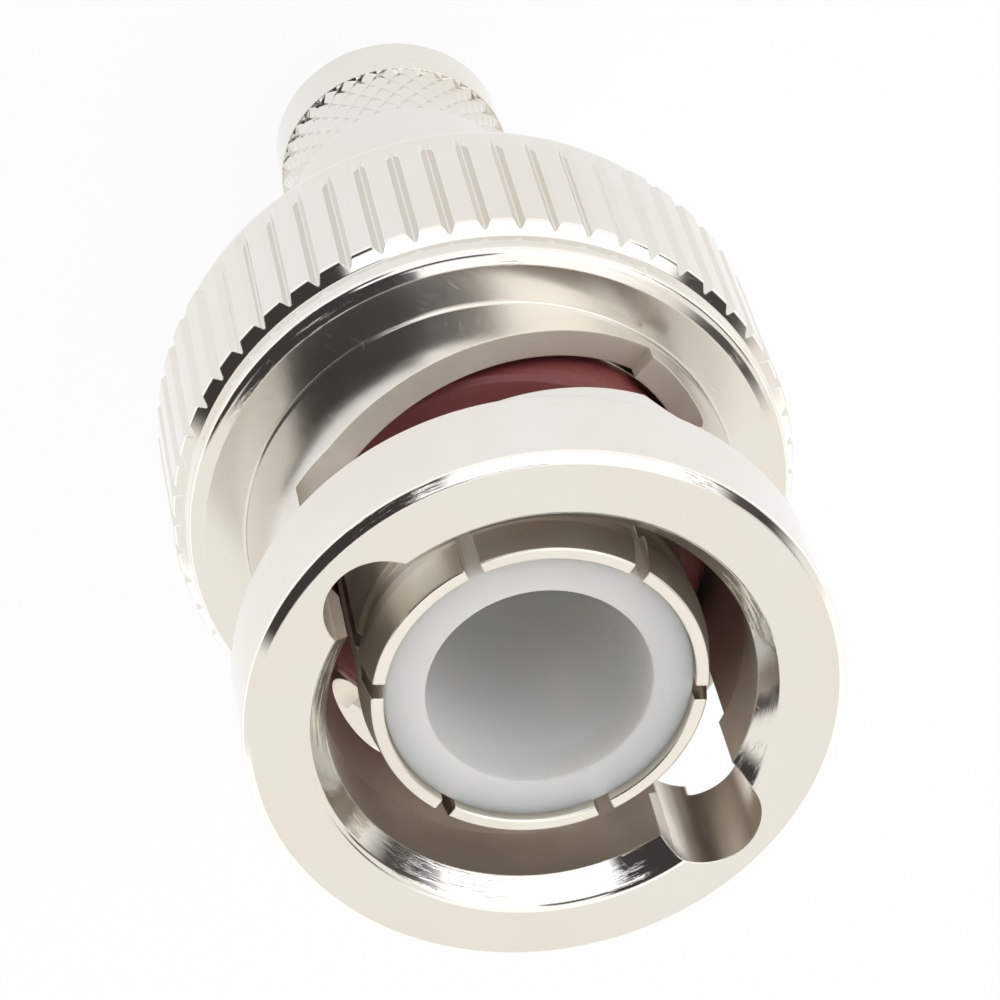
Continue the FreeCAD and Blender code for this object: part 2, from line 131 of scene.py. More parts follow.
class CouplingNutSizes(bpy.types.PropertyGroup):
    """Sizes of the bayonet nut."""
    turned_by: turn("Turned by", "How far the nut is turned on the body", -2.2)
    bore: length("Bore", "Diameter of the bore that takes the mating barrel", 0.0098)
    mouth: length("Mouth", "Diameter where the bore's chamfer meets the front face", 0.01076)
    mouth_depth: length("Mouth depth", "Depth of the bore's chamfer", 0.00063)
    mouth_round: length("Mouth round", "Rounding where the bore's chamfer meets the front face", 0.00025)
    bore_land: length("Bore land", "Length of the bore behind its chamfer", 0.0016)
    relief: length("Relief", "Diameter behind the bore's land", 0.0104)
    ring: length("Front ring", "Diameter of the front ring", 0.01368)
    ring_length: length("Ring length", "Length of the front ring", 0.0026)
    ring_bevel_width: length("Bevel width", "Radial size of the ring's front bevel", 0.0002)
    ring_bevel_depth: length("Bevel depth", "Axial size of the ring's front bevel", 0.00022)
    ring_bevel_round: length("Bevel round", "Rounding of the ring's front bevel", 0.00016)
    ring_back_bevel: length("Back bevel", "Bevel on the ring's rear edge", 0.0001)
    neck: length("Neck", "Diameter of the slotted neck", 0.01178)
    shoulder_depth: length("Shoulder depth", "Depth of the shoulder behind the front face", 0.0083)
    lip: length("Lip", "Diameter of the lip beside the shoulder", 0.0145)
    lip_bevel_width: length("Lip bevel width", "Radial size of the lip's bevel", 0.00037)
    lip_bevel_depth: length("Lip bevel depth", "Axial size of the lip's bevel", 0.00012)
    lip_round: length("Lip round", "Rounding of the lip's outer corner", 0.00022)
    lip_length: length("Lip length", "Length of the lip", 0.00073)
    grip: length("Grip", "Diameter over the fluted grip", 0.0151)
    tail: length("Tail", "Diameter of the plain tail", 0.0146)
    tail_length: length("Tail length", "Length of the plain tail", 0.00095)
    tail_round: length("Tail round", "Rounding of the tail's rear edge", 0.0004)
    tail_bevel: length("Tail bevel", "Axial size of the step between grip and tail", 0.00006)
    flute_count: number("Flutes", "Straight flutes round the grip", 56)
    flute_depth: length("Flute depth", "Depth of each flute", 0.00022)
    flute_angle: turn("Flute angle", "Angle between a flute's two walls", 76.0)
    flute_shoulder: length("Flute shoulder", "Rounding where a flute meets the grip", 0.00011)
    flute_root: length("Flute root", "Rounding at the bottom of a flute", 0.00004)
    flute_end: length("Flute end", "Rounding of the lands' front edges", 0.0002)
    channel: length("Channel", "Diameter of the entry channels", 0.0025)
    channel_centre: length("Channel centre", "Distance of a channel's centre from the axis", 0.00495)
    channel_depth: length("Channel depth", "How far the channels run in", 0.00535)
    slot_count: number("Slots", "Bayonet slots, each with a channel", 2)
    slot_width: length("Slot width", "Width of the helical slots", 0.0021)
    slot_front: length("Slot front", "How much further forward the slots' front walls are", 0.00045)
    slot_sweep: turn("Slot sweep", "Angle from a slot's detent hole to its channel", 87.2)
    slot_rise: length("Slot rise", "Height a slot climbs over its sweep", 0.0026)
    slot_end_depth: length("Slot end depth", "Depth of the slot's middle at its detent hole", 0.00681)
    detent: length("Detent hole", "Diameter of the holes that end the slots", 0.0026)
    detent_shift: length("Detent shift", "How far the detent hole lies before the slot's middle", 0.00066)
    cavity: length("Cavity", "Diameter of the space for the springs", 0.0123)
    cavity_chamfer: length("Cavity chamfer", "Chamfer at the cavity's rear edge", 0.0002)
    inner_shoulder: length("Inner shoulder", "Depth of the shoulder inside the nut", 0.00898)
    groove_depth: length("Groove depth", "Depth of the groove for the retaining ring", 0.00045)
    groove_gap: length("Groove gap", "Clearance beside the retaining ring", 0.00002)
    edge_round: length("Edge round", "Small rounding left on the turned edges", 0.00003)


class PlugBodySizes(bpy.types.PropertyGroup):
    """Sizes of the turned body."""
    stem: length("Stem", "Diameter of the crimp stem", 0.0062)
    stem_length: length("Stem length", "Length of the crimp stem", 0.0122)
    stem_chamfer: length("Stem chamfer", "Chamfer of the stem's rear edge", 0.00015)
    cable_bore: length("Cable bore", "Diameter of the bore through the stem", 0.0049)
    cable_chamfer: length("Cable chamfer", "Chamfer at the cable bore's mouth", 0.0002)
    knurl_start: length("Knurl start", "Distance of the knurl from the rear end", 0.0016)
    knurl_length: length("Knurl length", "Length of the knurled band", 0.0023)
    knurl_depth: length("Knurl depth", "Depth of the knurl's grooves", 0.00013)
    knurl_count: number("Knurl count", "Diamonds round the stem", 32)
    knurl_rows: number("Knurl rows", "Half diamonds along the band", 6)
    hub: length("Hub", "Diameter of the hub behind the flange", 0.0095)
    hub_chamfer: length("Hub chamfer", "Chamfer of the hub's rear edge", 0.0002)
    flange: length("Flange", "Diameter of the flange", 0.012)
    flange_thickness: length("Flange thickness", "Thickness of the flange", 0.0016)
    flange_chamfer: length("Flange chamfer", "Chamfer of the flange's edges", 0.0001)
    nose: length("Nose", "Diameter of the nose in front of the flange", 0.0101)
    nose_length: length("Nose length", "Length of the nose", 0.001)


class ContactSizes(bpy.types.PropertyGroup):
    """Sizes of the slotted ground contact."""
    outside: length("Outside", "Diameter of the sleeve", 0.0079)
    wall: length("Wall", "Thickness of the sleeve", 0.00039)
    tip: length("Tip", "Diameter of the tip", 0.00772)
    ridge: length("Ridge", "Diameter over the ridge", 0.00804)
    ridge_lead: length("Ridge lead", "Length of the taper in front of the ridge", 0.0009)
    ridge_width: length("Ridge width", "Width of the ridge", 0.0004)
    waist: length("Waist", "Diameter of the waist behind the ridge", 0.00768)
    waist_width: length("Waist width", "Width of the waist", 0.0005)
    waist_slope: length("Waist slope", "Length of the slopes beside the waist", 0.00015)
    slit_count: number("Slits", "Slits round the sleeve", 6)
    slit_width: length("Slit width", "Width of a slit", 0.00038)
    slit_length: length("Slit length", "Length of a slit", 0.0053)
    press_gap: length("Press gap", "Clearance between the sleeve and what it touches", 0.00002)
    edge_round: length("Edge round", "Small rounding of the tip's edges", 0.00005)


class InsulatorSizes(bpy.types.PropertyGroup):
    """Sizes of the dielectric."""
    socket: length("Socket", "Diameter of the front socket", 0.0052)
    socket_depth: length("Socket depth", "Depth of the front socket", 0.0082)
    socket_chamfer: length("Socket chamfer", "Rounding of the socket's mouth", 0.00005)
    face_chamfer: length("Face chamfer", "Rounding of the face's outer edge", 0.00008)
    pin_hole: length("Pin hole", "Diameter of the hole for the centre pin", 0.0021)


class GasketSizes(bpy.types.PropertyGroup):
    """Sizes of the silicone ring."""
    outside: length("Outside", "Diameter of the ring", 0.00996)
    gap: length("Gap", "Clearance round the ground contact", 0.00005)
    edge_round: length("Edge round", "Rounding of the front edges", 0.00035)


class Finishes(bpy.types.PropertyGroup):
    """Colours and roughness of the finishes."""
    nickel: colour("Nickel", "Bright nickel plating", (0.76, 0.74, 0.70))
    nickel_shade: colour("Nickel, yellowed", "Where the plating is a little yellower", (0.75, 0.715, 0.65))
    nickel_roughness: share("Nickel roughness", "Roughness of the plating", 0.08)
    neck_roughness: share("Neck roughness", "Roughness of the neck and shoulder", 0.17)
    bore: colour("Bore walls", "Plating in the bore", (0.64, 0.585, 0.53))
    bore_shade: colour("Bore walls, darker", "Where the bore's plating is thinner", (0.54, 0.485, 0.43))
    bore_roughness: share("Bore roughness", "Roughness of the bore", 0.38)
    # Painted light: the walls of the slots and channels get a plating paler than the outside nickel, so that
    # these walls inside the cuts look lit.
    slot: colour("Slot walls", "Plating on the walls of the slots and channels", (0.86, 0.81, 0.73))
    slot_shade: colour("Slot walls, darker", "Where the slots' plating is thinner", (0.74, 0.69, 0.61))
    slot_roughness: share("Slot roughness", "Roughness of the slots' walls", 0.55)
    channel_roughness: share("Channel roughness", "Roughness of the channels' walls", 0.32)
    contact: colour("Contact", "Plating of the ground contact", (0.81, 0.785, 0.71))
    contact_roughness: share("Contact roughness", "Roughness of the ground contact", 0.17)
    contact_wall: colour("Contact wall", "Plating on the outside of the contact", (0.74, 0.69, 0.59))
    contact_wall_roughness: share("Contact wall roughness", "Roughness of the contact's outside", 0.5)
    steel: colour("Steel", "Springs, washer and ring", (0.60, 0.60, 0.60))
    steel_roughness: share("Steel roughness", "Roughness of the springs, washer and ring", 0.3)
    dielectric: colour("Dielectric", "Pale grey plastic", (0.775, 0.745, 0.705))
    silicone: colour("Silicone", "Dark red silicone", (0.175, 0.038, 0.036))


class StageSettings(bpy.types.PropertyGroup):
    """The camera and the floor."""
    view_side: turn("View side", "Side of the axis on which the camera stands", 139.4196)
    view_height: turn("View height", "Height of the camera above the horizon", 56.3493)
    view_roll: turn("View roll", "Roll of the camera from upright", 164.2331)
    view_distance: length("View distance", "Distance from the camera to its aim", 0.097131)
    aim_offset: length("Aim offset", "Distance of the aim from the axis", 0.0059364)
    aim_side: turn("Aim side", "Side of the axis on which the aim lies", 136.6385)
    lens: FloatProperty(name="Lens", description="Focal length of the lens", default=162.0, unit="CAMERA")
    floor_size: length("Floor size", "Width of the floor", 1.2)


class PlugSettings(bpy.types.PropertyGroup):
    """All the settings of the plug."""
    nut: PointerProperty(type=CouplingNutSizes)
    body: PointerProperty(type=PlugBodySizes)
    contact: PointerProperty(type=ContactSizes)
    insulator: PointerProperty(type=InsulatorSizes)
    gasket: PointerProperty(type=GasketSizes)
    finishes: PointerProperty(type=Finishes)
    stage: PointerProperty(type=StageSettings)


# Tones of the room round the plug and of what hangs in it.
ROOM_TONE = (1.08, 1.06, 1.01)
CEILING_TONE = (1.45, 1.45, 1.45)
LAMP_TONE = (1.7, 1.72, 1.76)
BLACK_CARD = (0.06, 0.052, 0.05)
DARK_CARD = (0.07, 0.065, 0.065)
GREY_CARD = (0.10, 0.09, 0.09)

# The lit ceiling, the lamps and the dark cards, each covering those before it: the side and height of its
# middle, its width, its height across and its blur, all in degrees, and its tone.
ROOM_CARDS = (
    (0.0, 90.0, 400.0, 50.0, 3.0, CEILING_TONE),
    (109.0, 38.0, 92.0, 60.0, 5.0, LAMP_TONE),
    (186.5, 38.0, 75.0, 74.0, 4.0, BLACK_CARD),
    (153.0, 36.0, 17.0, 17.0, 2.0, LAMP_TONE),
    (134.0, 56.0, 48.0, 20.0, 6.0, BLACK_CARD),
    (205.0, 74.0, 112.0, 25.0, 1.5, BLACK_CARD),
    (46.5, 13.0, 27.0, 14.0, 3.0, DARK_CARD),
    (64.0, 9.0, 24.0, 12.0, 2.5, GREY_CARD),
    (18.0, 51.0, 18.0, 16.0, 4.0, GREY_CARD),
)


# Mesh helpers.

def rounded_corners(corners):
    """Points of a closed section from its corners, each (radius, height) or (radius, height, rounding).

    A further point beside each end of a rounding keeps the shading of the straight runs straight.
    """
    points = []
    count = len(corners)
    for place, corner in enumerate(corners):
        here = Vector(corner[:2])
        rounding = corner[2] if len(corner) > 2 else 0.0
        if rounding == 0.0:
            points.append(here)
            continue
        back = (Vector(corners[place - 1][:2]) - here).normalized()
        ahead = (Vector(corners[(place + 1) % count][:2]) - here).normalized()
        half = back.angle(ahead) / 2
        run = rounding / math.tan(half)
        middle = here + (back + ahead).normalized() * rounding / math.sin(half)
        first = (here + back * run - middle).normalized()
        last = (here + ahead * run - middle).normalized()
        points.append(here + back * (run + STRAIGHT_END))
        for step in range(CORNER_STEPS + 1):
            points.append(middle + first.slerp(last, step / CORNER_STEPS) * rounding)
        points.append(here + ahead * (run + STRAIGHT_END))
    return points


def turned(section, segments):
    """A solid turned about the axis from a closed section of (radius, height) points."""
    shape = bmesh.new()
    ring = [shape.verts.new((radius, 0.0, height)) for radius, height in section]
    edges = [shape.edges.new((ring[place - 1], ring[place])) for place in range(len(ring))]
    bmesh.ops.spin(
        shape, geom=ring + edges, axis=AXIS, cent=CENTRE, angle=FULL_TURN, steps=segments, use_merge=True)
    bmesh.ops.recalc_face_normals(shape, faces=shape.faces)
    return shape


def prism(corners, low, high):
    """A straight prism over a flat outline of (x, y) corners, from one height to another."""
    shape = bmesh.new()
    base = shape.faces.new([shape.verts.new((x, y, low)) for x, y in corners])
    raised = bmesh.ops.extrude_face_region(shape, geom=[base])["geom"]
    lifted = [item for item in raised if isinstance(item, bmesh.types.BMVert)]
    bmesh.ops.translate(shape, verts=lifted, vec=(0.0, 0.0, high - low))
    bmesh.ops.recalc_face_normals(shape, faces=shape.faces)
    return shape


def round_cutter(radius, depth, place):
    """A closed cylinder, put where a matrix says."""
    shape = bmesh.new()
    bmesh.ops.create_cone(
        shape, cap_ends=True, segments=CUTTER_STEPS, radius1=radius, radius2=radius, depth=depth,
        matrix=place)
    return shape


def repeated(shape, count):
    """The shape copied evenly round the axis."""
    original = shape.verts[:] + shape.edges[:] + shape.faces[:]
    for copy in range(1, count):
        made = bmesh.ops.duplicate(shape, geom=original)["geom"]
        moved = [item for item in made if isinstance(item, bmesh.types.BMVert)]
        way_round = Matrix.Rotation(FULL_TURN * copy / count, 3, "Z")
        bmesh.ops.rotate(shape, verts=moved, cent=CENTRE, matrix=way_round)
    return shape


def as_object(shape, name):
    """An object of the scene made from a bmesh, which is freed."""
    mesh = bpy.data.meshes.new(name)
    shape.to_mesh(mesh)
    shape.free()
    piece = bpy.data.objects.new(name, mesh)
    bpy.context.scene.collection.objects.link(piece)
    return piece


def combined(piece, tools, operation):
    """Cut the tools out of a piece, or join them to it, and remove their meshes."""
    for tool in tools:
        change = piece.modifiers.new(operation, "BOOLEAN")
        change.operation = operation
        change.solver = "EXACT"
        change.object = tool
    worked = piece.evaluated_get(bpy.context.evaluated_depsgraph_get())
    made = bpy.data.meshes.new_from_object(worked)
    piece.modifiers.clear()
    old = piece.data
    piece.data = made
    made.name = piece.name
    bpy.data.meshes.remove(old)
    for tool in tools:
        bpy.data.meshes.remove(tool.data)


def finish_piece(piece, body, node, material, sharp_over=28.0):
    """Shade a piece, give it its finish and tie it to the frame."""
    mesh = piece.data
    mesh.materials.clear()
    mesh.materials.append(material)
    mesh.polygons.foreach_set("use_smooth", [True] * len(mesh.polygons))
    mesh.polygons.foreach_set("material_index", [0] * len(mesh.polygons))
    mesh.set_sharp_from_angle(angle=math.radians(sharp_over))
    weighted = piece.modifiers.new("even_shading", "WEIGHTED_NORMAL")
    weighted.keep_sharp = True
    weighted.thresh = 0.0
    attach(piece, body)
    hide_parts(node)


# Finishes.

def new_finish(name):
    """An empty node material and its shader."""
    material = bpy.data.materials.new(name)
    material.use_nodes = True
    tree = material.node_tree
    return material, tree, tree.nodes["Principled BSDF"]


def add(tree, kind, settings=None, **sockets):
    """A node with its settings.

    A socket is given by its name, or by its number as i0, i1 and so on, and takes a value or another
    node's socket.
    """
    node = tree.nodes.new(kind)
    for name, value in (settings or {}).items():
        setattr(node, name, value)
    for name, value in sockets.items():
        socket = node.inputs[int(name[1:])] if name[1:].isdigit() else node.inputs[name.replace("_", " ")]
        if isinstance(value, bpy.types.NodeSocket):
            tree.links.new(value, socket)
        else:
            socket.default_value = value
    return node


def object_place(tree):
    """Position on the piece."""
    return add(tree, "ShaderNodeTexCoord").outputs["Object"]


def noise(tree, place, scale, detail, roughness=0.5):
    """Cloudy noise from nought to one."""
    node = add(tree, "ShaderNodeTexNoise", Vector=place, Scale=scale, Detail=detail, Roughness=roughness)
    return node.outputs["Fac"]


def stretched(tree, value, low, high, new_low=0.0, new_high=1.0, curve="LINEAR"):
    """A value whose range from low to high is stretched over a new one."""
    node = add(tree, "ShaderNodeMapRange", {"interpolation_type": curve}, i0=value, i1=low, i2=high,
               i3=new_low, i4=new_high)
    return node.outputs["Result"]


def calculated(tree, operation, *values):
    """The result of a math operation on one, two or three values."""
    sockets = {f"i{place}": value for place, value in enumerate(values)}
    return add(tree, "ShaderNodeMath", {"operation": operation}, **sockets).outputs["Value"]


def distance(tree, place):
    """Distance of a place from the origin."""
    return add(tree, "ShaderNodeVectorMath", {"operation": "LENGTH"}, i0=place).outputs["Value"]


def blended(tree, amount, first, second):
    """The second colour laid over the first."""
    node = add(tree, "ShaderNodeMix", {"data_type": "RGBA"}, i0=amount, i6=first, i7=second)
    return node.outputs["Result"]


def bumped(tree, height, strength, depth, surface=None):
    """A surface, or the piece's own where none is given, with a height pattern worked into it."""
    node = add(tree, "ShaderNodeBump", Strength=strength, Distance=depth, Height=height)
    if surface is not None:
        tree.links.new(surface, node.inputs["Normal"])
    return node.outputs["Normal"]


def coat(tree, shader, tone, roughness, surface):
    """Give a shader its tone, roughness and surface."""
    tree.links.new(tone, shader.inputs["Base Color"])
    tree.links.new(roughness, shader.inputs["Roughness"])
    tree.links.new(surface, shader.inputs["Normal"])


def shaded(base, factor):
    """A colour made lighter or darker, up to the palest tone."""
    return (*(min(part * factor, PALEST) for part in base), 1.0)


def turning_space(tree, around=0.0):
    """Position as (distance from the axis, height, way round), in which turning marks are straight."""
    place = object_place(tree)
    flat = add(tree, "ShaderNodeVectorMath", {"operation": "MULTIPLY"}, i0=place, i1=(1.0, 1.0, 0.0))
    reach = distance(tree, flat.outputs["Vector"])
    parts = add(tree, "ShaderNodeSeparateXYZ", Vector=place).outputs
    side = calculated(tree, "ARCTAN2", parts["Y"], parts["X"])
    along = calculated(tree, "MULTIPLY", side, around)
    return add(tree, "ShaderNodeCombineXYZ", X=reach, Y=parts["Z"], Z=along).outputs["Vector"]


def nick_pattern(tree, place):
    """Short streaks round the axis, in patches."""
    streaks = noise(tree, turning_space(tree, around=0.0006), scale=8000.0, detail=4.0, roughness=0.6)
    patches = noise(tree, place, scale=420.0, detail=1.0)
    return calculated(tree, "MULTIPLY", stretched(tree, streaks, low=0.5, high=0.68),
                      stretched(tree, patches, low=0.5, high=0.62))


def plated(name, base, tinted, roughness, marks=1.0, nicks=0.0):
    """Bright plating on turned metal: turning marks, a faint ripple, scratches, a warm bloom and nicks."""
    material, tree, shader = new_finish(name)
    place = object_place(tree)
    bloom = noise(tree, place, scale=260.0, detail=3.0, roughness=0.6)
    tone = blended(tree, stretched(tree, bloom, low=0.4, high=0.65), (*base, 1.0), (*tinted, 1.0))
    rough = stretched(tree, bloom, low=0.3, high=0.7, new_low=roughness * 0.8, new_high=roughness * 1.25)
    long_space = add(tree, "ShaderNodeMapping", Vector=place, Scale=(900.0, 5200.0, 1500.0),
                     Rotation=(0.5, 0.9, 0.4)).outputs["Vector"]
    scratches = stretched(tree, noise(tree, long_space, scale=2.0, detail=4.0), low=0.62, high=0.72)
    scuffed = calculated(tree, "MULTIPLY_ADD", scratches, 0.08, rough)
    edges = add(tree, "ShaderNodeBevel", {"samples": 6}, Radius=EDGE_SOFTNESS).outputs["Normal"]
    ripple = noise(tree, place, scale=900.0, detail=2.0)
    surface = bumped(tree, ripple, strength=0.12 * marks, depth=0.00002, surface=edges)
    lines = noise(tree, turning_space(tree), scale=26000.0, detail=3.0, roughness=0.6)
    surface = bumped(tree, lines, strength=0.25 * marks, depth=0.000002, surface=surface)
    if nicks:
        surface = bumped(tree, nick_pattern(tree, place), strength=nicks, depth=0.00003, surface=surface)
    coat(tree, shader, tone, scuffed, surface)
    shader.inputs["Metallic"].default_value = 1.0
    return material


def moulded_plastic(name, base):
    """Pale plastic with a faint grain and a slightly cloudy tone, with painted light making the inside of
    the socket lighter than the face.
    """
    material, tree, shader = new_finish(name)
    place = object_place(tree)
    cloud = noise(tree, place, scale=420.0, detail=3.0)
    face = blended(tree, cloud, shaded(base, 0.95), (*base, 1.0))
    height = add(tree, "ShaderNodeSeparateXYZ", Vector=place).outputs["Z"]
    # Painted light: from 0.2 mm below the face down to 1.2 mm the plastic turns lighter, to 1.22 times its
    # tone, and stays so deeper in the socket.
    socket_painted_light = stretched(tree, height, low=INSULATOR_FACE - 0.0012, high=INSULATOR_FACE - 0.0002,
                          new_low=1.0, new_high=0.0)
    tone = blended(tree, socket_painted_light, face, shaded(base, 1.22))
    rough = stretched(tree, cloud, low=0.3, high=0.7, new_low=0.42, new_high=0.52)
    grain = noise(tree, place, scale=16000.0, detail=2.0)
    coat(tree, shader, tone, rough, bumped(tree, grain, strength=0.15, depth=0.000004))
    shader.inputs["Subsurface Weight"].default_value = 0.8
    shader.inputs["Subsurface Radius"].default_value = (1.25, 1.0, 0.85)
    shader.inputs["Subsurface Scale"].default_value = 0.003
    return material


def silicone_rubber(name, base):
    """Dark red silicone, matt, with fine dust."""
    material, tree, shader = new_finish(name)
    place = object_place(tree)
    cloud = noise(tree, place, scale=500.0, detail=2.0)
    tone = blended(tree, cloud, (*base, 1.0), shaded(base, 1.35))
    dust = noise(tree, place, scale=5200.0, detail=4.0)
    rough = stretched(tree, dust, low=0.3, high=0.7, new_low=0.45, new_high=0.6)
    coat(tree, shader, tone, rough, bumped(tree, dust, strength=0.2, depth=0.00001))
    return material


# Pieces.

class PLUG_OT_coupling_nut(bpy.types.Operator):
    """Build the bayonet nut: front ring, slotted neck and fluted grip"""
    bl_idname = "plug.coupling_nut"
    bl_label = "Coupling nut"
    bl_options = {"REGISTER", "UNDO"}

    def execute(self, context):
        settings = context.scene.plug
        sizes = settings.nut
        segments = sizes.flute_count * FLUTE_STEPS
        piece = as_object(turned(self.section(sizes), segments), "nut_shell")
        tools = [
            as_object(self.flutes(sizes), "flute_tool"),
            as_object(self.channels(sizes), "channel_tool"),
            as_object(self.slots(sizes), "slot_tool"),
            as_object(self.detents(sizes), "detent_tool"),
        ]
        combined(piece, tools, "DIFFERENCE")
        piece.data.transform(Matrix.Rotation(sizes.turned_by, 4, "Z"))
        finishes = self.finishes(settings.finishes)
        finish_piece(piece, "nut", "coupling_nut", finishes[NUT_PLATING])
        for finish in finishes[BORE_WALLS:]:
            piece.data.materials.append(finish)
        for face in piece.data.polygons:
            face.material_index = self.finish_at(sizes, face.center, face.normal)
        return {"FINISHED"}

    def finishes(self, colours):
        """The nut's finishes, in the order of its material slots."""
        nickel = (colours.nickel, colours.nickel_shade)
        bore = (colours.bore, colours.bore_shade)
        slot = (colours.slot, colours.slot_shade)
        return [
            plated("nut_nickel", *nickel, colours.nickel_roughness),
            plated("nut_bore_walls", *bore, colours.bore_roughness),
            plated("nut_neck", *nickel, colours.neck_roughness, marks=1.5),
            plated("nut_worn_bevels", *nickel, colours.nickel_roughness, nicks=0.22),
            # The slots' and channels' walls take the paler plating, which is painted light.
            plated("nut_slot_walls", *slot, colours.slot_roughness, marks=2.0),
            plated("nut_channel_walls", *slot, colours.channel_roughness, marks=2.5),
        ]

    def finish_at(self, sizes, place, normal):
        """The finish that a face has by its place and the way it looks."""
        small = sizes.edge_round
        reach = place.xy.length
        upright = abs(normal.z) < UPRIGHT
        looks_forward = normal.z > UPRIGHT
        looks_outward = place.xy.dot(normal.xy) / reach >= 0.5
        shoulder = NUT_FRONT - sizes.shoulder_depth
        lip_start = sizes.lip / 2 - sizes.lip_bevel_width - small
        lip_height = sizes.lip_bevel_depth + sizes.lip_round
        on_front = looks_forward and place.z > NUT_FRONT - small
        on_mouth = (reach < sizes.mouth / 2 + sizes.mouth_round
                    and place.z > NUT_FRONT - sizes.mouth_depth - small)
        on_ring_bevel = (reach > sizes.ring / 2 - sizes.ring_bevel_width
                         and place.z > NUT_FRONT - sizes.ring_bevel_depth)
        on_lip_bevel = reach > lip_start and abs(place.z - shoulder) < lip_height
        if looks_forward and (on_mouth and not on_front or on_ring_bevel or on_lip_bevel):
            return WORN_BEVELS
        in_bore = reach < sizes.neck / 2 - small
        in_channel = upright and reach < sizes.channel_centre + sizes.channel / 2 + small
        if (in_bore or in_channel) and not looks_outward and not on_front:
            if reach <= sizes.relief / 2 + small:
                return BORE_WALLS
            before_slots = place.z >= NUT_FRONT - sizes.channel_depth
            return CHANNEL_WALLS if upright and before_slots else SLOT_WALLS
        if reach < lip_start and shoulder - small < place.z < NUT_FRONT - sizes.ring_length:
            return NECK
        return NUT_PLATING

    def section(self, sizes):
        """The nut's half section, from the bore's mouth outwards and round."""
        small = sizes.edge_round
        ring_edge = sizes.ring / 2
        lip_edge = sizes.lip / 2
        grip_edge = sizes.grip / 2
        tail_edge = sizes.tail / 2
        cavity_wall = sizes.cavity / 2
        groove_floor = cavity_wall + sizes.groove_depth
        grip_step = grip_edge - lip_edge
        shoulder = NUT_FRONT - sizes.shoulder_depth
        land_end = NUT_FRONT - sizes.mouth_depth - sizes.bore_land
        inner_shoulder = NUT_FRONT - sizes.inner_shoulder
        return rounded_corners([
            (sizes.mouth / 2, NUT_FRONT, sizes.mouth_round),
            (ring_edge - sizes.ring_bevel_width, NUT_FRONT, small),
            (ring_edge, NUT_FRONT - sizes.ring_bevel_depth, sizes.ring_bevel_round),
            (ring_edge, NUT_FRONT - sizes.ring_length + sizes.ring_back_bevel, small),
            (ring_edge - sizes.ring_back_bevel, NUT_FRONT - sizes.ring_length, small),
            (sizes.neck / 2, NUT_FRONT - sizes.ring_length, 2 * small),
            (sizes.neck / 2, shoulder, 2 * small),
            (lip_edge - sizes.lip_bevel_width, shoulder, small),
            (lip_edge, shoulder - sizes.lip_bevel_depth, sizes.lip_round),
            (lip_edge, shoulder - sizes.lip_length, small),
            (grip_edge, shoulder - sizes.lip_length - grip_step, sizes.flute_end),
            (grip_edge, NUT_REAR + sizes.tail_length + sizes.tail_bevel, small),
            (tail_edge, NUT_REAR + sizes.tail_length, small),
            (tail_edge, NUT_REAR, sizes.tail_round),
            (cavity_wall + sizes.cavity_chamfer, NUT_REAR),
            (cavity_wall, NUT_REAR + sizes.cavity_chamfer),
            (cavity_wall, RING_REAR - sizes.groove_gap),
            (groove_floor, RING_REAR - sizes.groove_gap),
            (groove_floor, RING_FRONT + sizes.groove_gap),
            (cavity_wall, RING_FRONT + sizes.groove_gap),
            (cavity_wall, inner_shoulder),
            (sizes.relief / 2, inner_shoulder),
            (sizes.relief / 2, land_end - (sizes.relief - sizes.bore) / 2),
            (sizes.bore / 2, land_end),
            (sizes.bore / 2, NUT_FRONT - sizes.mouth_depth, small),
        ])

    def flutes(self, sizes):
        """V-shaped bars with a blunt edge and flared sides that cut the grip's flutes."""
        grip_edge = sizes.grip / 2
        root = grip_edge - sizes.flute_depth
        half = sizes.flute_depth * math.tan(sizes.flute_angle / 2)
        crest = grip_edge + sizes.flute_depth
        outside = half + sizes.flute_shoulder
        outline = rounded_corners([
            (-outside, grip_edge),
            (-half, grip_edge, sizes.flute_shoulder),
            (0.0, root, sizes.flute_root),
            (half, grip_edge, sizes.flute_shoulder),
            (outside, grip_edge),
            (outside, crest),
            (-outside, crest),
        ])
        low = NUT_REAR + sizes.tail_length
        high = NUT_FRONT - sizes.shoulder_depth - sizes.lip_length
        return repeated(prism(outline, low, high), sizes.flute_count)

    def channels(self, sizes):
        """Round bars that cut the entry channels in from the front face."""
        side = math.pi / 2 + sizes.slot_sweep
        centre = Vector((math.cos(side), math.sin(side), 0.0)) * sizes.channel_centre
        centre.z = NUT_FRONT
        cutter = round_cutter(sizes.channel / 2, 2 * sizes.channel_depth, Matrix.Translation(centre))
        return repeated(cutter, sizes.slot_count)

    def slots(self, sizes):
        """Helical bars that cut the bayonet slots from the detent holes up to the channels."""
        middle = NUT_FRONT - sizes.slot_end_depth
        low = middle - sizes.slot_width / 2
        high = middle + sizes.slot_width / 2 + sizes.slot_front
        margin = sizes.slot_width / 4
        inside = sizes.bore / 2 - margin
        outside = sizes.neck / 2 + margin
        shape = bmesh.new()
        corners = [(inside, low), (outside, low), (outside, high), (inside, high)]
        start = shape.faces.new([shape.verts.new((0.0, reach, height)) for reach, height in corners])
        bmesh.ops.spin(
            shape, geom=[start] + start.edges[:] + start.verts[:], axis=AXIS, cent=CENTRE,
            dvec=(0.0, 0.0, sizes.slot_rise / SLOT_STEPS), angle=sizes.slot_sweep, steps=SLOT_STEPS)
        bmesh.ops.recalc_face_normals(shape, faces=shape.faces)
        return repeated(shape, sizes.slot_count)

    def detents(self, sizes):
        """One bar across the neck that cuts the two detent holes."""
        height = NUT_FRONT - sizes.slot_end_depth + sizes.detent_shift
        place = Matrix.Translation((0.0, 0.0, height)) @ Matrix.Rotation(math.pi / 2, 4, "X")
        return round_cutter(sizes.detent / 2, 2 * sizes.neck, place)


